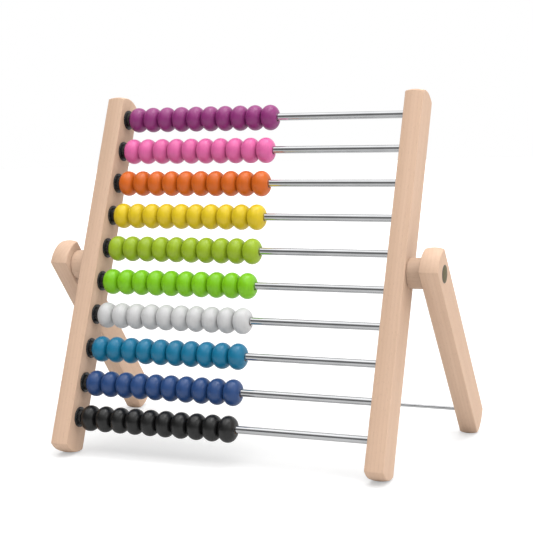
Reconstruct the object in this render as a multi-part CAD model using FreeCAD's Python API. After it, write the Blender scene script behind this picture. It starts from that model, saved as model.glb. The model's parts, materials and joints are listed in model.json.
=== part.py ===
import FreeCAD, Part
import math
import os

# A ten-rod counting frame. Two beech posts hold ten steel rods with ten beads on each, and lean back
# on a stand of two beech legs joined by a thin cross-bar. The legs turn together about one axis.
# World frame: +X to the right of a person facing the beads, +Y to the back, +Z up. The origin is the
# middle of the object's footprint, on the surface that it stands on. Millimetres.

# Rods and beads
BEADS_PER_ROW = 10
ROD_PITCH = 29.0
ROD_DIAMETER = 6.0
INNER_WIDTH = 252.2             # clear width between the two posts
BEAD_DIAMETER = 21.2
BEAD_PITCH = 13.7               # beads that touch are this far apart
BEAD_GAP = 0.04                 # left between touching beads
BEAD_BORE_CLEARANCE = 0.35      # bore radius less rod radius: a bead hangs on its rod
BEAD_NAMES = ["purple", "pink", "orange", "yellow", "lime", "green", "white", "teal", "navy", "black"]
ROWS = len(BEAD_NAMES)

# Posts and legs, cut from two flat bars with crowned narrow faces and ball-rounded ends
BAR_WIDTH = 15.2
POST_DEPTH = 26.4               # front to back, at the corners of the section
LEG_DEPTH = 25.8
CROWN = 1.0                     # rise of the narrow faces at mid width
END_RADIUS = 25.6
EDGE_RADIUS = 1.0
POST_ABOVE_ROD = 19.4           # top of a post above the top rod's axis
POST_BELOW_ROD = 29.6           # bottom of a post below the bottom rod's axis
LEG_ABOVE_PIVOT = 19.0
LEG_BELOW_PIVOT = 185.2

# Pivots: the axis crosses the posts half way up the rods, a little behind the rods' plane
PIVOT_BACK = 1.3
LEG_ANGLE = 61.7                # between a post and a leg when the frame stands
SPACER_DIAMETER = 24.0
SPACER_LENGTH = 11.9
LEG_PLAY = 0.05                 # axial gap between a leg and its spacer
SCREW_DIAMETER = 6.0
SCREW_IN_POST = 11.0
SCREW_HEAD_DIAMETER = 11.0
SCREW_HEAD_HEIGHT = 3.0
HEX_ACROSS_FLATS = 4.0
HEX_DEPTH = 2.0
WASHER_DIAMETER = 12.6
WASHER_THICKNESS = 1.0
WASHER_CLEARANCE = 0.2          # bore radius less screw radius
CAP_DIAMETER = 14.0
CAP_RIM_PROUD = 0.3
CAP_DOME = 0.5                  # height of the domed face above the rim
CAP_IN_LEG = 1.6
COUNTERBORE_DEPTH = 6.0
CROSS_BAR_DIAMETER = 3.0
CROSS_BAR_FROM_PIVOT = 166.2
CROSS_BAR_IN_LEG = 8.0

# Collars: black flanged bushes in the left post, each with a rod's end inside it
FLANGE_DIAMETER = 16.6
FLANGE_THICKNESS = 1.3
HUB_DIAMETER = 12.4
COLLAR_HEIGHT = 3.9             # flange and hub together, from the post to the first bead
SHANK_DIAMETER = 9.0
SHANK_LENGTH = 9.0
ROD_IN_RIGHT_POST = 10.0

# Small roundings and chamfers
ROD_END_CHAMFER = 0.4
COLLAR_EDGE_RADIUS = 0.5
SPACER_EDGE_RADIUS = 0.8
SCREW_POINT_CHAMFER = 1.2
SCREW_HEAD_EDGE_RADIUS = 0.5
CAP_EDGE_RADIUS = 0.15

# Fits
GLUE_GAP = 0.05                 # radial gap round a part that is glued or screwed in
RUNNING_GAP = 0.06              # radial gap of a leg on its screw
HOLE_END_GAP = 0.5              # beyond the end of a part in a blind hole
OVERSHOOT = 1.0                 # how far a cutting tool runs past the surface it opens

X_AXIS = FreeCAD.Vector(1, 0, 0)
Z_AXIS = FreeCAD.Vector(0, 0, 1)
ORIGIN = FreeCAD.Vector(0, 0, 0)

# Across the object, from its middle plane outwards
POST_INNER_X = INNER_WIDTH / 2
POST_OUTER_X = POST_INNER_X + BAR_WIDTH
LEG_INNER_X = POST_OUTER_X + SPACER_LENGTH + LEG_PLAY
LEG_OUTER_X = LEG_INNER_X + BAR_WIDTH
COUNTERBORE_X = LEG_OUTER_X - COUNTERBORE_DEPTH
WASHER_X = COUNTERBORE_X + LEG_PLAY
HEAD_X = WASHER_X + WASHER_THICKNESS
POST_MIDDLE_X = POST_INNER_X + BAR_WIDTH / 2
LEG_MIDDLE_X = LEG_INNER_X + BAR_WIDTH / 2

# Along a post, measured from the pivot axis
TOP_ROD_Z = (ROWS - 1) / 2 * ROD_PITCH
POST_TOP_Z = TOP_ROD_Z + POST_ABOVE_ROD
POST_BOTTOM_Z = -TOP_ROD_Z - POST_BELOW_ROD


def rounded_end_corner(reach, depth):
    """Centre of the small edge rounding at a bar's end, in its middle plane: (distance to the side
    of the bar's axis, distance along it). reach is from the pivot to the end's highest point."""
    aside = depth / 2 + CROWN - EDGE_RADIUS
    along = reach - END_RADIUS + math.sqrt((END_RADIUS - EDGE_RADIUS) ** 2 - aside ** 2)
    return aside, along


def lean_of_frame():
    """Lean of the posts, in radians, at which post ends and leg ends stand on one plane. A post
    stands on its ball-rounded end, and a leg on the rounded edge of its front face."""
    angle = math.radians(LEG_ANGLE)
    aside, along = rounded_end_corner(LEG_BELOW_PIVOT, LEG_DEPTH)
    cosine_part = POST_BOTTOM_Z + END_RADIUS + aside * math.sin(angle) + along * math.cos(angle)
    sine_part = PIVOT_BACK - aside * math.cos(angle) + along * math.sin(angle)
    drop = (END_RADIUS - EDGE_RADIUS) / math.hypot(cosine_part, sine_part)
    return math.atan2(sine_part, cosine_part) - math.acos(drop)


LEAN = lean_of_frame()
SPLAY = math.radians(LEG_ANGLE) - LEAN


def pivot_position():
    """World position of the pivot axis: its height puts the feet on the ground, and its place
    front to back centres the object's box on the origin."""
    ball_drop = (POST_BOTTOM_Z + END_RADIUS) * math.cos(LEAN) + PIVOT_BACK * math.sin(LEAN)
    height = END_RADIUS - ball_drop
    aside, along = rounded_end_corner(-POST_BOTTOM_Z, POST_DEPTH)
    front = -(aside + PIVOT_BACK) * math.cos(LEAN) - along * math.sin(LEAN) - EDGE_RADIUS
    aside, along = rounded_end_corner(LEG_BELOW_PIVOT, LEG_DEPTH)
    back = aside * math.cos(SPLAY) + along * math.sin(SPLAY) + EDGE_RADIUS
    return FreeCAD.Vector(0, -(front + back) / 2, height)


PIVOT = pivot_position()


def place_on_frame(shape):
    """Move a shape from the posts' own frame (z up the posts, y = 0 in the rods' plane, z = 0 at
    the pivot) to its place in the world."""
    placed = shape.copy()
    placed.translate(FreeCAD.Vector(0, -PIVOT_BACK, 0))
    placed.rotate(ORIGIN, X_AXIS, -math.degrees(LEAN))
    placed.translate(PIVOT)
    return placed


def place_on_stand(shape):
    """Move a shape from a leg's own frame (leg hanging down from the pivot axis) to the world."""
    placed = shape.copy()
    placed.rotate(ORIGIN, X_AXIS, math.degrees(SPLAY))
    placed.translate(PIVOT)
    return placed


def rod_along_x(diameter, x_start, x_end, y=0.0, z=0.0):
    base = FreeCAD.Vector(x_start, y, z)
    return Part.makeCylinder(diameter / 2, x_end - x_start, base, X_AXIS)


def mirrored(shape):
    return shape.mirror(ORIGIN, X_AXIS)


def rim_edges(shape, x, diameter):
    """Round edges of the given diameter that lie in the plane at x."""
    found = []
    for edge in shape.Edges:
        flat = edge.BoundBox.XLength < 1e-3 and abs(edge.BoundBox.XMin - x) < 1e-3
        if flat and abs(edge.BoundBox.ZLength - diameter) < 1e-2:
            found.append(edge)
    return found


def round_ended_bar(depth, top_z, bottom_z):
    """A flat bar along z, centred on x = 0 and y = 0, with crowned front and back faces, ends cut
    to a ball of END_RADIUS, and all its edges lightly rounded."""
    x = BAR_WIDTH / 2
    y = depth / 2
    front_left = FreeCAD.Vector(-x, -y, bottom_z)
    front_right = FreeCAD.Vector(x, -y, bottom_z)
    back_right = FreeCAD.Vector(x, y, bottom_z)
    back_left = FreeCAD.Vector(-x, y, bottom_z)
    front_crown = FreeCAD.Vector(0, -y - CROWN, bottom_z)
    back_crown = FreeCAD.Vector(0, y + CROWN, bottom_z)
    section = Part.Wire([
        Part.Arc(front_left, front_crown, front_right).toShape(),
        Part.LineSegment(front_right, back_right).toShape(),
        Part.Arc(back_right, back_crown, back_left).toShape(),
        Part.LineSegment(back_left, front_left).toShape(),
    ])
    bar = Part.Face(section).extrude(FreeCAD.Vector(0, 0, top_z - bottom_z))
    capsule_side = FreeCAD.Vector(END_RADIUS, 0, 0)
    low = FreeCAD.Vector(0, 0, bottom_z + END_RADIUS)
    high = FreeCAD.Vector(0, 0, top_z - END_RADIUS)
    outline = Part.Wire([
        Part.LineSegment(FreeCAD.Vector(0, 0, bottom_z), FreeCAD.Vector(0, 0, top_z)).toShape(),
        Part.Arc(FreeCAD.Vector(0, 0, top_z), high + diagonal(1), high + capsule_side).toShape(),
        Part.LineSegment(high + capsule_side, low + capsule_side).toShape(),
        Part.Arc(low + capsule_side, low + diagonal(-1), FreeCAD.Vector(0, 0, bottom_z)).toShape(),
    ])
    capsule = Part.Face(outline).revolve(ORIGIN, Z_AXIS, 360)
    cut = bar.common(capsule)
    return cut.makeFillet(EDGE_RADIUS, cut.Edges)


def diagonal(up):
    """Half way round a quarter of the ball that rounds a bar's end."""
    step = END_RADIUS * math.sqrt(0.5)
    return FreeCAD.Vector(step, 0, up * step)


def rod_heights():
    return [TOP_ROD_Z - row * ROD_PITCH for row in range(ROWS)]


def make_left_post():
    post = round_ended_bar(POST_DEPTH, POST_TOP_Z, POST_BOTTOM_Z)
    post.translate(FreeCAD.Vector(-POST_MIDDLE_X, 0, 0))
    hole_end = -POST_INNER_X - SHANK_LENGTH - HOLE_END_GAP
    diameter = SHANK_DIAMETER + 2 * GLUE_GAP
    for z in rod_heights():
        post = post.cut(rod_along_x(diameter, hole_end, -POST_INNER_X + OVERSHOOT, 0, z))
    return post.cut(mirrored(pivot_hole_in_post()))


def make_right_post():
    post = round_ended_bar(POST_DEPTH, POST_TOP_Z, POST_BOTTOM_Z)
    post.translate(FreeCAD.Vector(POST_MIDDLE_X, 0, 0))
    hole_end = POST_INNER_X + ROD_IN_RIGHT_POST + HOLE_END_GAP
    diameter = ROD_DIAMETER + 2 * GLUE_GAP
    for z in rod_heights():
        post = post.cut(rod_along_x(diameter, POST_INNER_X - OVERSHOOT, hole_end, 0, z))
    return post.cut(pivot_hole_in_post())


def pivot_hole_in_post():
    start = POST_OUTER_X - SCREW_IN_POST - HOLE_END_GAP
    diameter = SCREW_DIAMETER + 2 * GLUE_GAP
    return rod_along_x(diameter, start, POST_OUTER_X + OVERSHOOT, PIVOT_BACK, 0)


def make_rod(z):
    left_x = -POST_INNER_X - SHANK_LENGTH
    right_x = POST_INNER_X + ROD_IN_RIGHT_POST
    rod = rod_along_x(ROD_DIAMETER, left_x, right_x, 0, z)
    ends = rim_edges(rod, left_x, ROD_DIAMETER) + rim_edges(rod, right_x, ROD_DIAMETER)
    return rod.makeChamfer(ROD_END_CHAMFER, ends)


def make_collar(z):
    shank_x = -POST_INNER_X - SHANK_LENGTH
    flange_x = -POST_INNER_X + FLANGE_THICKNESS
    hub_x = -POST_INNER_X + COLLAR_HEIGHT
    shank = rod_along_x(SHANK_DIAMETER, shank_x, -POST_INNER_X, 0, z)
    flange = rod_along_x(FLANGE_DIAMETER, -POST_INNER_X, flange_x, 0, z)
    flange = flange.makeFillet(COLLAR_EDGE_RADIUS, rim_edges(flange, flange_x, FLANGE_DIAMETER))
    hub = rod_along_x(HUB_DIAMETER, -POST_INNER_X, hub_x, 0, z)
    hub = hub.makeFillet(COLLAR_EDGE_RADIUS, rim_edges(hub, hub_x, HUB_DIAMETER))
    bore = rod_along_x(ROD_DIAMETER + 2 * GLUE_GAP, shank_x - OVERSHOOT, hub_x + OVERSHOOT, 0, z)
    return shank.fuse(flange).fuse(hub).removeSplitter().cut(bore)


def make_bead(x, z):
    """A bead with a half-round rim: small flats round the bore, where it touches its neighbours."""
    half = (BEAD_PITCH - BEAD_GAP) / 2
    bore = ROD_DIAMETER / 2 + BEAD_BORE_CLEARANCE
    flat = BEAD_DIAMETER / 2 - half
    left_bore = FreeCAD.Vector(-half, 0, bore)
    right_bore = FreeCAD.Vector(half, 0, bore)
    left_flat = FreeCAD.Vector(-half, 0, flat)
    right_flat = FreeCAD.Vector(half, 0, flat)
    rim = FreeCAD.Vector(0, 0, BEAD_DIAMETER / 2)
    profile = Part.Wire([
        Part.LineSegment(left_bore, left_flat).toShape(),
        Part.Arc(left_flat, rim, right_flat).toShape(),
        Part.LineSegment(right_flat, right_bore).toShape(),
        Part.LineSegment(right_bore, left_bore).toShape(),
    ])
    bead = Part.Face(profile).revolve(ORIGIN, X_AXIS, 360)
    bead.translate(FreeCAD.Vector(x, 0, z))
    return bead


def make_bead_row(z):
    """Ten beads pushed against the collar, each hanging on the rod by the clearance of its bore."""
    first_x = -POST_INNER_X + COLLAR_HEIGHT + BEAD_PITCH / 2
    beads = [make_bead(first_x + i * BEAD_PITCH, z) for i in range(BEADS_PER_ROW)]
    row = place_on_frame(Part.makeCompound(beads))
    row.translate(FreeCAD.Vector(0, 0, -(BEAD_BORE_CLEARANCE - BEAD_GAP / 2)))
    return row


def make_spacer():
    outer_x = POST_OUTER_X + SPACER_LENGTH
    disc = rod_along_x(SPACER_DIAMETER, POST_OUTER_X, outer_x, PIVOT_BACK, 0)
    rims = rim_edges(disc, POST_OUTER_X, SPACER_DIAMETER) + rim_edges(disc, outer_x, SPACER_DIAMETER)
    disc = disc.makeFillet(SPACER_EDGE_RADIUS, rims)
    diameter = SCREW_DIAMETER + 2 * GLUE_GAP
    return disc.cut(rod_along_x(diameter, POST_OUTER_X - OVERSHOOT, outer_x + OVERSHOOT, PIVOT_BACK, 0))


def make_pivot_screw():
    """Wood screw with a cylinder head and a hexagon socket. Its thread is left plain."""
    tip_x = POST_OUTER_X - SCREW_IN_POST
    head_end = HEAD_X + SCREW_HEAD_HEIGHT
    shank = rod_along_x(SCREW_DIAMETER, tip_x, HEAD_X, PIVOT_BACK, 0)
    shank = shank.makeChamfer(SCREW_POINT_CHAMFER, rim_edges(shank, tip_x, SCREW_DIAMETER))
    head = rod_along_x(SCREW_HEAD_DIAMETER, HEAD_X, head_end, PIVOT_BACK, 0)
    head = head.makeFillet(SCREW_HEAD_EDGE_RADIUS, rim_edges(head, head_end, SCREW_HEAD_DIAMETER))
    corner = HEX_ACROSS_FLATS / math.sqrt(3)
    corners = []
    for i in range(7):
        turn = math.radians(60 * i)
        y = PIVOT_BACK + corner * math.cos(turn)
        corners.append(FreeCAD.Vector(head_end - HEX_DEPTH, y, corner * math.sin(turn)))
    socket = Part.Face(Part.makePolygon(corners)).extrude(FreeCAD.Vector(HEX_DEPTH + OVERSHOOT, 0, 0))
    return shank.fuse(head).removeSplitter().cut(socket)


def make_pivot_washer():
    disc = rod_along_x(WASHER_DIAMETER, WASHER_X, HEAD_X, PIVOT_BACK, 0)
    diameter = SCREW_DIAMETER + 2 * WASHER_CLEARANCE
    return disc.cut(rod_along_x(diameter, WASHER_X - OVERSHOOT, HEAD_X + OVERSHOOT, PIVOT_BACK, 0))


def make_leg():
    """The right leg in its own frame, hanging straight down from the pivot axis."""
    leg = round_ended_bar(LEG_DEPTH, LEG_ABOVE_PIVOT, -LEG_BELOW_PIVOT)
    leg.translate(FreeCAD.Vector(LEG_MIDDLE_X, 0, 0))
    inner_x = LEG_INNER_X - OVERSHOOT
    outer_x = LEG_OUTER_X + OVERSHOOT
    leg = leg.cut(rod_along_x(SCREW_DIAMETER + 2 * RUNNING_GAP, inner_x, outer_x))
    leg = leg.cut(rod_along_x(CAP_DIAMETER + 2 * GLUE_GAP, COUNTERBORE_X, outer_x))
    bar_hole_end = LEG_INNER_X + CROSS_BAR_IN_LEG + HOLE_END_GAP
    diameter = CROSS_BAR_DIAMETER + 2 * GLUE_GAP
    return leg.cut(rod_along_x(diameter, inner_x, bar_hole_end, 0, -CROSS_BAR_FROM_PIVOT))


def make_pivot_cap():
    """A round cap pressed into the leg over the screw, with a slightly domed face."""
    rim_x = LEG_OUTER_X + CAP_RIM_PROUD
    blank = rod_along_x(CAP_DIAMETER, LEG_OUTER_X - CAP_IN_LEG, rim_x + CAP_DOME)
    dome_radius = ((CAP_DIAMETER / 2) ** 2 + CAP_DOME ** 2) / (2 * CAP_DOME)
    ball = Part.makeSphere(dome_radius, FreeCAD.Vector(rim_x + CAP_DOME - dome_radius, 0, 0))
    cap = blank.common(ball)
    return cap.makeFillet(CAP_EDGE_RADIUS, rim_edges(cap, rim_x, CAP_DIAMETER))


def make_cross_bar():
    reach = LEG_INNER_X + CROSS_BAR_IN_LEG
    return rod_along_x(CROSS_BAR_DIAMETER, -reach, reach, 0, -CROSS_BAR_FROM_PIVOT)


def export(name, shape):
    assert shape.isValid(), name
    shape.exportStep(os.path.join("parts", name + ".step"))
    box = shape.BoundBox
    print("%-22s %2d solid(s) %10.1f mm3  z %.2f to %.2f" % (
        name, len(shape.Solids), shape.Volume, box.ZMin, box.ZMax))


def main():
    os.makedirs("parts", exist_ok=True)
    export("left_post", place_on_frame(make_left_post()))
    export("right_post", place_on_frame(make_right_post()))
    for row, z in enumerate(rod_heights()):
        number = "%02d" % (row + 1)
        export("rod_" + number, place_on_frame(make_rod(z)))
        export("collar_" + number, place_on_frame(make_collar(z)))
        export("beads_" + number + "_" + BEAD_NAMES[row], make_bead_row(z))
    for part_name, shape in (("spacer_disc", make_spacer()), ("pivot_screw", make_pivot_screw()),
                             ("pivot_washer", make_pivot_washer())):
        export("right_" + part_name, place_on_frame(shape))
        export("left_" + part_name, place_on_frame(mirrored(shape)))
    for part_name, shape in (("leg", make_leg()), ("pivot_cap", make_pivot_cap())):
        export("right_" + part_name, place_on_stand(shape))
        export("left_" + part_name, place_on_stand(mirrored(shape)))
    export("cross_bar", place_on_stand(make_cross_bar()))
    travel = INNER_WIDTH - COLLAR_HEIGHT - BEADS_PER_ROW * BEAD_PITCH
    print("lean %.3f deg, splay %.3f deg, pivot at %s" % (math.degrees(LEAN), math.degrees(SPLAY), PIVOT))
    print("free travel of a row %.2f mm" % travel)


main()
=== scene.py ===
import json
import math
import random

import bmesh
import bpy
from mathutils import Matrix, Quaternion, Vector


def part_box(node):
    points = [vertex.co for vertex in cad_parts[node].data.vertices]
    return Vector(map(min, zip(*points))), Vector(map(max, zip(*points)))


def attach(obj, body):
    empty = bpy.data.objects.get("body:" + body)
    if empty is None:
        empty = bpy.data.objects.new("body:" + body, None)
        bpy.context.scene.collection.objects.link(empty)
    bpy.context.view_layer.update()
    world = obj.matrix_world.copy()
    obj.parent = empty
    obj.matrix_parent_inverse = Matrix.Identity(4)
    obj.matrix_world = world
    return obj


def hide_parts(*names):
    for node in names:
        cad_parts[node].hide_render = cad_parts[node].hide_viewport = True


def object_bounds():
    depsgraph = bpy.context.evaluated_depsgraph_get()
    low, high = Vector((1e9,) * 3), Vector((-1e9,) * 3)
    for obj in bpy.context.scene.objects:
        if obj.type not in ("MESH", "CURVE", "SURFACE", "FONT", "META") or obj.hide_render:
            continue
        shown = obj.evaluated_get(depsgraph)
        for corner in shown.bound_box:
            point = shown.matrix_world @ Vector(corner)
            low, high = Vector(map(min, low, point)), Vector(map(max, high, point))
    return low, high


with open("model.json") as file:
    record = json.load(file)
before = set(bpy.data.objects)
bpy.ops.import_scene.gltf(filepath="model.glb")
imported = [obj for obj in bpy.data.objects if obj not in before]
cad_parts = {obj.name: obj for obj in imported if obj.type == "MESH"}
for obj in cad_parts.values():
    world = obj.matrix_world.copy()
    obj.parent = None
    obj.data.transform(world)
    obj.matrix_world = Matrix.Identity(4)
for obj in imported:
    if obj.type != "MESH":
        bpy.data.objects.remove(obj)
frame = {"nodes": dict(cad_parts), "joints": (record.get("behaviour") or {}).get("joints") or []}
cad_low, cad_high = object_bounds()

# A ten-row counting frame: satin painted beads on polished rods between two beech posts, propped on
# two beech legs. Lengths are in metres, the angles of lamps and camera in degrees, and colours in
# linear RGB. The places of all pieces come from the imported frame.

MM = 0.001

# Colours
WHITE = (1.0, 1.0, 1.0)
BEECH_PALE = (0.895, 0.622, 0.450)
BEECH_MID = (0.855, 0.585, 0.415)
BEECH_RING = (0.760, 0.495, 0.335)
BEECH_FLECK = (0.540, 0.335, 0.215)
STEEL = (0.560, 0.565, 0.575)
ZINC = (0.600, 0.610, 0.640)
OLIVE = (0.172, 0.142, 0.052)
# Painted shade at the rim of the pivot caps, for the shadow in the narrow gap round each cap
CAP_RIM_SHADE = (0.120, 0.135, 0.165)
PLASTIC_BLACK = (0.012, 0.013, 0.014)
PAINTS = {
    "purple": (0.356, 0.043, 0.233),
    "pink": (0.980, 0.174, 0.479),
    "orange": (0.862, 0.169, 0.012),
    "yellow": (0.975, 0.709, 0.016),
    "lime": (0.411, 0.602, 0.020),
    "green": (0.266, 0.727, 0.007),
    "white": (0.776, 0.774, 0.773),
    "teal": (0.007, 0.217, 0.398),
    "navy": (0.026, 0.081, 0.253),
    "black": (0.008, 0.008, 0.008),
}

# Share of red, green and blue in the brightness of a colour
LUMINANCE = (0.2126, 0.7152, 0.0722)

# Beads: how finely they are turned, the radius at the mouth of the bore, the play at each end, and the
# seed of the turn that each has about its rod
BEADS_PER_ROW = 10
BEAD_TURNS = 80
BEAD_RIM_STEPS = 36
BEAD_MOUTH_STEPS = 5
BEAD_MOUTH = 0.20 * MM
BEAD_PLAY = 0.01 * MM
BEAD_SEED = 12

# Roughness of the bright rods, and of the zinc-plated screws and washers
ROD_ROUGHNESS = 0.05
ZINC_ROUGHNESS = 0.28

# Sides of the frame: (name, seed of its wood's grain, painted shade of its spacer disc: a factor that
# darkens the disc's wood for the shade that its post and leg cast on it)
SIDES = (("left", 1, 0.97), ("right", 11, 0.80))

# Floor: its size, its colour near and far, and the distances from the middle between which it changes
FLOOR_RADIUS = 6.0
FLOOR_SEGMENTS = 96
FLOOR_MOTTLE = 9.0
FLOOR_PALE = (0.720, 0.720, 0.720)
FLOOR_DULL = (0.60, 0.60, 0.60)
FLOOR_DULL_FROM = 0.25
FLOOR_DULL_TO = 0.90

# Floor glow that a camera sees, and the weaker one near the object that only reflections see
FLOOR_NEAR = 0.25
FLOOR_FAR = 1.60
FLOOR_NEAR_GLOW = 0.42
FLOOR_FAR_GLOW = 0.80
FLOOR_MIRRORED_GLOW = 0.12
FLOOR_MIRRORED_FROM = 0.12
FLOOR_MIRRORED_TO = 0.32

# Light from the surroundings, by height: (z of the direction, level on the left, level on the right)
SURROUNDINGS = (
    (0.00, 0.05, 0.45),
    (0.36, 0.05, 0.45),
    (0.50, 0.00, 1.00),
    (0.70, 0.00, 1.00),
    (0.82, 2.55, 0.00),
    (1.00, 2.55, 0.00),
)

# Pale backdrop: y of the direction where it starts and where it is full, and z where it fades out
BACKDROP = (0.85, 0.85, 0.85)
BACKDROP_FROM = 0.15
BACKDROP_FULL = 0.40
BACKDROP_FADES = 0.70
BACKDROP_TOP = 0.84

# Softboxes that face the object: (name, azimuth, elevation, distance, width, watts)
SOFTBOXES = (
    ("overhead_softbox", 120.0, 76.0, 1.6, 0.9, 8.6),
    ("front_softbox", 20.0, 64.0, 1.6, 0.9, 3.1),
    ("right_softbox", 80.0, 30.0, 1.8, 1.2, 3.8),
)

# Camera: where it looks from, as angles round the point it looks at
CAMERA_AIM = Vector((0.0190, -0.0185, 0.1505))
CAMERA_AZIMUTH = 22.881
CAMERA_ELEVATION = 6.836
CAMERA_ROLL = -1.327
CAMERA_DISTANCE = 1.0381
CAMERA_LENS = 86.68
CAMERA_SENSOR = 36.0
CAMERA_CLIP_START = 0.05
CAMERA_CLIP_END = 50.0


# ---------------------------------------------------------------- places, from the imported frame

def middle(node):
    low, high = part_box(node)
    return (low + high) / 2


def rows():
    """(node, paint name) of each row of beads, from the top."""
    found = sorted(name for name in frame["nodes"] if name.startswith("beads_"))
    return [(name, name.split("_")[2]) for name in found]


def angle_from_vertical(direction):
    """Turn about X, in radians, that takes +Z to a direction in the YZ plane."""
    return math.atan2(-direction.y, direction.z)


def outward(azimuth, elevation):
    """Direction from the object, at an azimuth in degrees from the front (-Y) towards +X."""
    a = math.radians(azimuth)
    e = math.radians(elevation)
    return Vector((math.sin(a) * math.cos(e), -math.cos(a) * math.cos(e), math.sin(e)))


POST_TILT = angle_from_vertical(middle("rod_01") - middle("rod_10"))
PIVOT = Vector(next(j for j in frame["joints"] if j["name"] == "stand_swing")["pos_m"])
LEG_TILT = angle_from_vertical(PIVOT - middle("cross_bar"))


# ---------------------------------------------------------------- node helpers

# Most of a noise pattern lies between these
NOISE_LOW = 0.3
NOISE_HIGH = 0.7


def new_material(name):
    """A new material, its node tree, and the Principled shader in it."""
    material = bpy.data.materials.new(name)
    material.use_nodes = True
    tree = material.node_tree
    return material, tree, tree.nodes["Principled BSDF"]


def put(tree, socket, value):
    """Link an output to an input socket, or set the socket's own value."""
    if isinstance(value, bpy.types.NodeSocket):
        tree.links.new(value, socket)
    elif isinstance(value, (tuple, list)) and len(value) == 3 and len(socket.default_value) == 4:
        socket.default_value = (*value, 1.0)
    else:
        socket.default_value = value


def put_all(tree, shader, **values):
    """Set a shader's inputs. An underscore in a name stands for a space."""
    for name, value in values.items():
        put(tree, shader.inputs[name.replace("_", " ")], value)


def add(tree, kind, inputs=None, **settings):
    """Add a shader node. inputs maps socket names or numbers to values or to other outputs."""
    node = tree.nodes.new("ShaderNode" + kind)
    for name, value in settings.items():
        setattr(node, name, value)
    for key, value in (inputs or {}).items():
        put(tree, node.inputs[key], value)
    return node


def maths(tree, operation, first, second=0.0):
    return add(tree, "Math", {0: first, 1: second}, operation=operation).outputs[0]


def times(tree, first, second):
    return maths(tree, "MULTIPLY", first, second)


def plus(tree, first, second):
    return maths(tree, "ADD", first, second)


def object_place(tree):
    """Place of the shaded point in its object's own axes."""
    return add(tree, "TexCoord").outputs["Object"]


def stretched(tree, vector, scale):
    """A vector multiplied by a scale for each axis."""
    return add(tree, "VectorMath", {0: vector, 1: scale}, operation="MULTIPLY").outputs[0]


def shifted(tree, vector, offset):
    return add(tree, "VectorMath", {0: vector, 1: offset}, operation="ADD").outputs[0]


def length(tree, vector):
    return add(tree, "VectorMath", {0: vector}, operation="LENGTH").outputs[1]


def noise(tree, vector, scale=1.0, detail=2.0, roughness=0.5):
    inputs = {"Vector": vector, "Scale": scale, "Detail": detail, "Roughness": roughness}
    return add(tree, "TexNoise", inputs).outputs[0]


def between(tree, value, low, high, to_low=0.0, to_high=1.0):
    """Map value from low..high to to_low..to_high, held at the ends and eased."""
    inputs = {0: value, 1: low, 2: high, 3: to_low, 4: to_high}
    return add(tree, "MapRange", inputs, interpolation_type="SMOOTHSTEP").outputs[0]


def spread(tree, pattern, to_low=0.0, to_high=1.0):
    """Map the span that holds most of a noise pattern to to_low..to_high."""
    return between(tree, pattern, NOISE_LOW, NOISE_HIGH, to_low, to_high)


def mixed(tree, first, second, share):
    """Two patterns as one, with this share of the second."""
    return plus(tree, times(tree, first, 1.0 - share), times(tree, second, share))


def grey(tree, value):
    return add(tree, "CombineColor", {0: value, 1: value, 2: value}).outputs[0]


def blend_colour(tree, share, first, second, blend_type="MIX"):
    inputs = {0: share, 6: first, 7: second}
    node = add(tree, "Mix", inputs, data_type="RGBA", blend_type=blend_type)
    return node.outputs[2]


def shaded(tree, colour, shade):
    """A colour multiplied by a grey level."""
    return blend_colour(tree, 1.0, colour, grey(tree, shade), "MULTIPLY")


def scaled(colour, factor):
    return tuple(factor * channel for channel in colour)


def bump(tree, height, distance, normal=None):
    inputs = {"Strength": 1.0, "Distance": distance, "Height": height}
    if normal is not None:
        inputs["Normal"] = normal
    return add(tree, "Bump", inputs).outputs[0]


def dull_when_bounced(tree, colour, level, share):
    """Light that a surface throws on its neighbours turns towards a darker neutral grey: painted shade
    that darkens creases and nearby pieces and keeps them free of strong colour casts."""
    bounced = add(tree, "LightPath").outputs["Is Diffuse Ray"]
    return blend_colour(tree, times(tree, bounced, share), colour, (level, level, level))


# ---------------------------------------------------------------- materials

# Beech. A scale says how often a pattern changes in a metre: across the grain, along x and y, and
# with it, along z.
BEECH_SWAY = (12.0, 12.0, 3.0)
BEECH_FIBRES = (900.0, 900.0, 14.0)
BEECH_BANDS = (150.0, 150.0, 3.5)
BEECH_TONE = (28.0, 28.0, 7.0)
BEECH_RAYS = (1900.0, 1900.0, 330.0)
RING_WIDTH = 3.1 * MM
RING_WANDER = 12.0 * MM
BEECH_RELIEF = 0.05 * MM

# The span over which each pattern comes in, late wood as a share of its ring, and how strongly it shows
LATE_WOOD = (0.30, 0.88)
LATE_WOOD_END = (0.90, 1.0)
FLECKED = (0.61, 0.74)
FIBRED = (0.35, 0.75)
RING_SHOWS = 0.22
FIBRES_SHOW = 0.22
FLECKS_SHOW = 0.26
FLECKS_SINK = 0.7
TONE_LOW = 0.97
TONE_HIGH = 1.02


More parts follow.
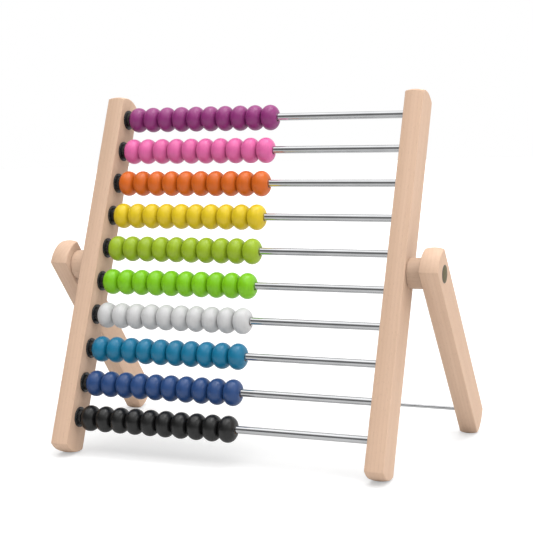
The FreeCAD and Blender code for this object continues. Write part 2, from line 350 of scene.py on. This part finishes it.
def beech(name, centre, turn, seed, painted_shade=1.0):
    """Solid beech. Its grain runs along local Z after the piece's turn: growth rings about a pith
    that lies outside the piece, fine fibres, and the short dark ray flecks that mark beech. The last
    factor darkens the whole piece: painted shade, for a piece that sits in the shade of its neighbours."""
    material, tree, shader = new_material(name)
    mapping = {"Vector": object_place(tree), "Location": tuple(centre), "Rotation": turn}
    grain = add(tree, "Mapping", mapping, vector_type="TEXTURE").outputs[0]
    rand = random.Random(seed)
    grain = shifted(tree, grain, (0.0, 0.0, rand.uniform(0.5, 3.0)))

    pith = (rand.uniform(0.05, 0.08), rand.uniform(-0.02, 0.02), 0.0)
    sway = noise(tree, stretched(tree, grain, BEECH_SWAY), detail=1.0)
    off_pith = stretched(tree, shifted(tree, grain, pith), (1.0, 1.0, 0.0))
    radius = plus(tree, length(tree, off_pith), times(tree, sway, RING_WANDER))
    in_ring = maths(tree, "FRACT", maths(tree, "DIVIDE", radius, RING_WIDTH))
    past_end = between(tree, in_ring, *LATE_WOOD_END)
    ring = times(tree, between(tree, in_ring, *LATE_WOOD), maths(tree, "SUBTRACT", 1.0, past_end))

    fibres = noise(tree, stretched(tree, grain, BEECH_FIBRES), detail=3.0, roughness=0.6)
    bands = noise(tree, stretched(tree, grain, BEECH_BANDS))
    tone = noise(tree, stretched(tree, grain, BEECH_TONE))
    rays = noise(tree, stretched(tree, grain, BEECH_RAYS), detail=1.0)
    flecks = between(tree, rays, *FLECKED)

    colour = blend_colour(tree, spread(tree, bands), BEECH_PALE, BEECH_MID)
    colour = blend_colour(tree, times(tree, ring, RING_SHOWS), colour, BEECH_RING)
    colour = blend_colour(tree, between(tree, fibres, *FIBRED, 0.0, FIBRES_SHOW), colour, BEECH_MID)
    colour = blend_colour(tree, times(tree, flecks, FLECKS_SHOW), colour, BEECH_FLECK)
    # The last factor darkens the whole piece; below 1.0 it is painted shade.
    colour = shaded(tree, colour, spread(tree, tone, TONE_LOW * painted_shade, TONE_HIGH * painted_shade))
    pores = maths(tree, "SUBTRACT", fibres, times(tree, flecks, FLECKS_SINK))
    # Light that the beech throws on its neighbours is a darker grey: painted shade in creases.
    put_all(
        tree, shader,
        Base_Color=dull_when_bounced(tree, colour, level=0.42, share=0.75),
        Roughness=spread(tree, fibres, 0.50, 0.62),
        Specular_IOR_Level=0.35,
        Normal=bump(tree, pores, BEECH_RELIEF),
    )
    return material


# Paint. Each bead's own random number, 0 to 1, shifts its patterns and sets its shade.
PAINT_FILM = 160.0
PAINT_FIBRES = (90.0, 900.0, 900.0)
LATHE_ALONG = 1400.0
LATHE_ACROSS = 500.0
OWN_SHIFT = (1.0, 7.0, 1.0)
OWN_LATHE_SHIFT = 50.0
OWN_SHADE = 0.05
DARKEST_SHADE = 0.975
TURNING_SHOWS = 0.4
FIBRE_RELIEF = 0.02 * MM
LATHE_RELIEF = 0.03 * MM


def satin_paint(name, colour):
    """Sprayed satin paint on a turned bead: faint turning lines round the bead, a little wood grain
    showing through along the bore, slightly uneven film, no two beads quite alike."""
    material, tree, shader = new_material(name)
    place = object_place(tree)
    own = add(tree, "ObjectInfo").outputs["Random"]
    local = shifted(tree, place, stretched(tree, own, OWN_SHIFT))

    film = noise(tree, local, scale=PAINT_FILM, detail=3.0)
    fibres = noise(tree, stretched(tree, local, PAINT_FIBRES))
    radius = length(tree, stretched(tree, place, (0.0, 1.0, 1.0)))
    along = times(tree, add(tree, "SeparateXYZ", {0: place}).outputs[0], LATHE_ALONG)
    lathe = add(tree, "CombineXYZ", {
        0: plus(tree, along, times(tree, own, OWN_LATHE_SHIFT)),
        1: times(tree, radius, LATHE_ACROSS),
    }).outputs[0]
    turning = noise(tree, lathe)

    shade = spread(tree, mixed(tree, film, turning, TURNING_SHOWS), 0.93, 1.05)
    own_shade = plus(tree, times(tree, own, OWN_SHADE), DARKEST_SHADE)
    paint = shaded(tree, colour, times(tree, shade, own_shade))
    # The grey that a bead throws on its neighbours is half as bright as its paint: painted shade in the
    # creases between beads.
    dull = 0.5 * sum(weight * channel for weight, channel in zip(LUMINANCE, colour))
    put_all(
        tree, shader,
        Base_Color=dull_when_bounced(tree, paint, level=dull, share=0.8),
        Roughness=spread(tree, film, 0.30, 0.38),
        Specular_IOR_Level=0.5,
        Normal=bump(tree, turning, LATHE_RELIEF, bump(tree, fibres, FIBRE_RELIEF)),
    )
    return material


BORE_FIBRES = (120.0, 1400.0, 1400.0)
BORE_RELIEF = 0.06 * MM


def bore_wood():
    """Unpainted wall of a bead's bore, in the darker tones of beech, with its fibres along the bore."""
    material, tree, shader = new_material("bead_bore_wood")
    fibres = noise(tree, stretched(tree, object_place(tree), BORE_FIBRES), detail=3.0)
    put_all(
        tree, shader,
        Base_Color=blend_colour(tree, spread(tree, fibres), BEECH_RING, BEECH_FLECK),
        Roughness=0.8,
        Normal=bump(tree, fibres, BORE_RELIEF),
    )
    return material


DRAW_LINES = (6.0, 2600.0, 2600.0)
RUBBED_RINGS = (1500.0, 30.0, 30.0)
POLISH_PATCHES = (45.0, 90.0, 90.0)
DRAW_RELIEF = 0.002 * MM


def polished_steel(name, base, rough):
    """Bright drawn bar: draw lines along it, faint rings rubbed round it, patches of duller polish."""
    material, tree, shader = new_material(name)
    place = object_place(tree)
    draw_lines = noise(tree, stretched(tree, place, DRAW_LINES))
    rubbed = noise(tree, stretched(tree, place, RUBBED_RINGS))
    patches = noise(tree, stretched(tree, place, POLISH_PATCHES), detail=3.0)
    wear = mixed(tree, rubbed, patches, share=0.5)
    put_all(
        tree, shader,
        Base_Color=blend_colour(tree, spread(tree, patches), base, scaled(base, 0.90)),
        Metallic=1.0,
        Roughness=between(tree, wear, 0.35, 0.65, rough, rough * 1.6),
        Normal=bump(tree, draw_lines, DRAW_RELIEF),
    )
    return material


SPARK_TEXTURE = 2600.0
SPARK_RELIEF = 0.01 * MM
PLASTIC_BLOOM = 220.0


def moulded_plastic():
    """Black injection-moulded collar: fine spark texture and a slight grey bloom."""
    material, tree, shader = new_material("collar_plastic")
    place = object_place(tree)
    spark = noise(tree, place, scale=SPARK_TEXTURE)
    bloom = noise(tree, place, scale=PLASTIC_BLOOM)
    bloomed = scaled(PLASTIC_BLACK, 2.2)
    put_all(
        tree, shader,
        Base_Color=blend_colour(tree, between(tree, bloom, 0.35, 0.7), PLASTIC_BLACK, bloomed),
        Roughness=spread(tree, bloom, 0.20, 0.30),
        Normal=bump(tree, spark, SPARK_RELIEF),
    )
    return material


# Ring of painted shade at a cap's rim: where it starts, where it is full, and how strongly it shows
CAP_EDGE_FROM = 6.2 * MM
CAP_EDGE_TO = 7.0 * MM
CAP_RIM_SHADE_SHOWS = 0.75
CAP_CIRCLES = 2600.0
CAP_STAIN = 420.0
CAP_RELIEF = 0.01 * MM


def cap_metal(name, centre):
    """Olive-grey plated cap with fine turned circles on its face. Towards its rim it is painted darker:
    a painted shadow of the gap round the cap.
    """
    material, tree, shader = new_material(name)
    place = object_place(tree)
    radius = length(tree, stretched(tree, shifted(tree, place, tuple(-centre)), (0.0, 1.0, 1.0)))
    circles = add(tree, "CombineXYZ", {0: times(tree, radius, CAP_CIRCLES)}).outputs[0]
    turned = noise(tree, circles)
    stain = noise(tree, place, scale=CAP_STAIN, detail=3.0)
    # Painted shade: the rim is blended towards a dark grey for the shadow in the gap round the cap.
    rim_shade = between(tree, radius, CAP_EDGE_FROM, CAP_EDGE_TO, 0.0, CAP_RIM_SHADE_SHOWS)
    colour = blend_colour(tree, spread(tree, stain), OLIVE, scaled(OLIVE, 0.80))
    put_all(
        tree, shader,
        Base_Color=blend_colour(tree, rim_shade, colour, CAP_RIM_SHADE),
        Metallic=0.35,
        Roughness=spread(tree, turned, 0.38, 0.52),
        Normal=bump(tree, turned, CAP_RELIEF),
    )
    return material


def pale_floor():
    """Matt floor, pale round the object and duller far off, so that it throws less light back. A glow
    that only a camera sees, stronger far away, lifts it to the white of the surroundings, so that no
    horizon shows and the soft shadows under the object stay. A weaker glow close to the object is
    there for reflections only."""
    material, tree, shader = new_material("pale_floor")
    place = object_place(tree)
    away = length(tree, place)
    mottle = noise(tree, place, scale=FLOOR_MOTTLE, detail=3.0)
    colour = blend_colour(tree, mottle, FLOOR_PALE, scaled(FLOOR_PALE, 0.99))
    dulling = between(tree, away, FLOOR_DULL_FROM, FLOOR_DULL_TO)
    glow = between(tree, away, FLOOR_NEAR, FLOOR_FAR, FLOOR_NEAR_GLOW, FLOOR_FAR_GLOW)
    mirrored = between(tree, away, FLOOR_MIRRORED_FROM, FLOOR_MIRRORED_TO, FLOOR_MIRRORED_GLOW, 0.0)
    ray = add(tree, "LightPath").outputs
    glow = times(tree, glow, ray["Is Camera Ray"])
    mirrored = times(tree, mirrored, ray["Is Glossy Ray"])
    put_all(
        tree, shader,
        Base_Color=blend_colour(tree, dulling, colour, FLOOR_DULL),
        Roughness=0.9,
        Specular_IOR_Level=0.1,
        Emission_Color=WHITE,
        Emission_Strength=plus(tree, glow, mirrored),
    )
    return material


# ---------------------------------------------------------------- pieces

def place_in_scene(name, data):
    thing = bpy.data.objects.new(name, data)
    bpy.context.scene.collection.objects.link(thing)
    return thing


def dress(node, material):
    """Give a CAD node a finished material in all its slots."""
    piece = frame["nodes"][node]
    for index in range(len(piece.data.materials)):
        piece.data.materials[index] = material


def bead_outline(half, radius, bore):
    """Half section of a bead from the middle of its bore's wall round to the same point on the other
    side: (distance along the rod, distance from its axis). The rim is an arc, and a small radius
    rounds the mouth of the bore."""
    flat = radius - half
    quarter = []
    for step in range(BEAD_MOUTH_STEPS + 1):
        turn = math.pi / 2 * step / BEAD_MOUTH_STEPS
        along = half - BEAD_MOUTH + BEAD_MOUTH * math.sin(turn)
        quarter.append((along, bore + BEAD_MOUTH - BEAD_MOUTH * math.cos(turn)))
    rim = []
    for step in range(1, BEAD_RIM_STEPS):
        turn = math.pi * step / BEAD_RIM_STEPS
        rim.append((half * math.cos(turn), flat + half * math.sin(turn)))
    other = [(-x, r) for x, r in reversed(quarter)]
    return quarter + rim + other


def bead_mesh(half, radius, bore):
    """One bead about the X axis. Material slot 0 is paint, and slot 1 is the wall of the bore."""
    outline = bead_outline(half, radius, bore)
    build = bmesh.new()
    loops = []
    for turn in range(BEAD_TURNS):
        angle = 2 * math.pi * turn / BEAD_TURNS
        cosine = math.cos(angle)
        sine = math.sin(angle)
        loops.append([build.verts.new((x, r * cosine, r * sine)) for x, r in outline])
    count = len(outline)
    for turn in range(BEAD_TURNS):
        near = loops[turn]
        far = loops[(turn + 1) % BEAD_TURNS]
        for point in range(count):
            after = (point + 1) % count
            face = build.faces.new((near[point], near[after], far[after], far[point]))
            face.smooth = True
            face.material_index = 1 if after == 0 else 0
    bmesh.ops.recalc_face_normals(build, faces=build.faces)
    mesh = bpy.data.meshes.new("bead")
    build.to_mesh(mesh)
    build.free()
    return mesh


def string_beads():
    """Ten beads on each rod, each turned at random about the rod. They stand for the row's node."""
    rand = random.Random(BEAD_SEED)
    bore = bore_wood()
    for node, paint in rows():
        number = node.split("_")[1]
        low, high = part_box(node)
        axis_y = (low.y + high.y) / 2
        axis_z = (low.z + high.z) / 2
        pitch = (high.x - low.x) / BEADS_PER_ROW
        radius = (high.z - low.z) / 2
        rod_low, rod_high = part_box("rod_" + number)
        hang = (rod_low.z + rod_high.z) / 2 - axis_z
        mesh = bead_mesh(pitch / 2 - BEAD_PLAY, radius, (rod_high.z - rod_low.z) / 2 + hang)
        mesh.materials.append(satin_paint("paint_" + paint, PAINTS[paint]))
        mesh.materials.append(bore)
        for index in range(BEADS_PER_ROW):
            bead = place_in_scene("bead_%s_%02d" % (paint, index + 1), mesh)
            bead.location = (low.x + (index + 0.5) * pitch, axis_y, axis_z)
            bead.rotation_euler = (rand.uniform(0.0, 2 * math.pi), 0.0, 0.0)
            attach(bead, "row_" + number)
            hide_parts(node)


def dress_frame():
    """Finish every piece but the beads. The discs are cut across, so their grain runs along X."""
    rods = polished_steel("rod_steel", STEEL, ROD_ROUGHNESS)
    collars = moulded_plastic()
    zinc = polished_steel("zinc_steel", ZINC, ZINC_ROUGHNESS)
    for number in range(1, len(rows()) + 1):
        dress("rod_%02d" % number, rods)
        dress("collar_%02d" % number, collars)
    dress("cross_bar", rods)
    along_post = (POST_TILT, 0.0, 0.0)
    along_leg = (LEG_TILT, 0.0, 0.0)
    along_x = (0.0, math.pi / 2, 0.0)
    # A spacer disc's wood is darkened by its factor from SIDES: painted shade for the shade that its
    # post and leg cast on it.
    for side, seed, disc_painted_shade in SIDES:
        wood = (
            (side + "_post", along_post, 1.0),
            (side + "_leg", along_leg, 1.0),
            (side + "_spacer_disc", along_x, disc_painted_shade),
        )
        for extra, (node, turn, painted_shade) in enumerate(wood):
            dress(node, beech("beech_" + node, middle(node), turn, seed + extra, painted_shade))
        cap = side + "_pivot_cap"
        dress(cap, cap_metal("cap_" + side, middle(cap)))
        dress(side + "_pivot_screw", zinc)
        dress(side + "_pivot_washer", zinc)


# ---------------------------------------------------------------- floor, light and camera

def lay_floor():
    """A pale round floor, wide enough to reach the background from any side."""
    build = bmesh.new()
    bmesh.ops.create_circle(build, cap_ends=True, segments=FLOOR_SEGMENTS, radius=FLOOR_RADIUS)
    mesh = bpy.data.meshes.new("floor")
    build.to_mesh(mesh)
    build.free()
    mesh.materials.append(pale_floor())
    floor = place_in_scene("floor", mesh)


def height_ramp(tree, height, levels):
    """Grey level by height, from (height, level) pairs."""
    ramp = add(tree, "ValToRGB", {0: height})
    elements = ramp.color_ramp.elements
    while len(elements) < len(levels):
        elements.new(0.5)
    for element, (where, level) in zip(elements, levels):
        element.position = where
        element.color = (level, level, level, 1.0)
    return ramp.outputs[0]


def light_world():
    """Studio surroundings: bright overhead, a wide soft wall on the right, dark on the left, a pale
    backdrop behind, and plain white where the camera sees past the floor."""
    world = bpy.data.worlds.new("studio")
    bpy.context.scene.world = world
    world.use_nodes = True
    tree = world.node_tree
    direction = add(tree, "TexCoord").outputs["Generated"]
    x, y, z = add(tree, "SeparateXYZ", {0: direction}).outputs
    left = height_ramp(tree, z, [(height, level) for height, level, _ in SURROUNDINGS])
    right = height_ramp(tree, z, [(height, level) for height, _, level in SURROUNDINGS])
    rightward = times(tree, plus(tree, x, 1.0), 0.5)
    light = blend_colour(tree, rightward, left, right)
    behind = between(tree, y, BACKDROP_FROM, BACKDROP_FULL)
    below_top = between(tree, z, BACKDROP_FADES, BACKDROP_TOP, 1.0, 0.0)
    light = blend_colour(tree, times(tree, behind, below_top), light, BACKDROP)
    seen = add(tree, "LightPath").outputs["Is Camera Ray"]
    put(tree, tree.nodes["Background"].inputs["Color"], blend_colour(tree, seen, light, WHITE))


def softbox(name, azimuth, elevation, distance, width, watts):
    """A square area light that faces the middle of the object."""
    out = outward(azimuth, elevation)
    data = bpy.data.lights.new(name, "AREA")
    data.shape = "SQUARE"
    data.size = width
    data.energy = watts
    lamp = place_in_scene(name, data)
    lamp.location = (cad_low + cad_high) / 2 + out * distance
    lamp.rotation_mode = "QUATERNION"
    lamp.rotation_quaternion = (-out).to_track_quat("-Z", "Y")


def place_camera():
    out = outward(CAMERA_AZIMUTH, CAMERA_ELEVATION)
    data = bpy.data.cameras.new("camera")
    data.lens = CAMERA_LENS
    data.sensor_width = CAMERA_SENSOR
    data.clip_start = CAMERA_CLIP_START
    data.clip_end = CAMERA_CLIP_END
    camera = place_in_scene("camera", data)
    camera.location = CAMERA_AIM + out * CAMERA_DISTANCE
    camera.rotation_mode = "QUATERNION"
    level = (-out).to_track_quat("-Z", "Y")
    camera.rotation_quaternion = level @ Quaternion((0.0, 0.0, 1.0), math.radians(CAMERA_ROLL))
    bpy.context.scene.camera = camera


place_camera()
string_beads()
dress_frame()
lay_floor()
light_world()
for box in SOFTBOXES:
    softbox(*box)
bpy.context.scene.view_settings.view_transform = "Standard"
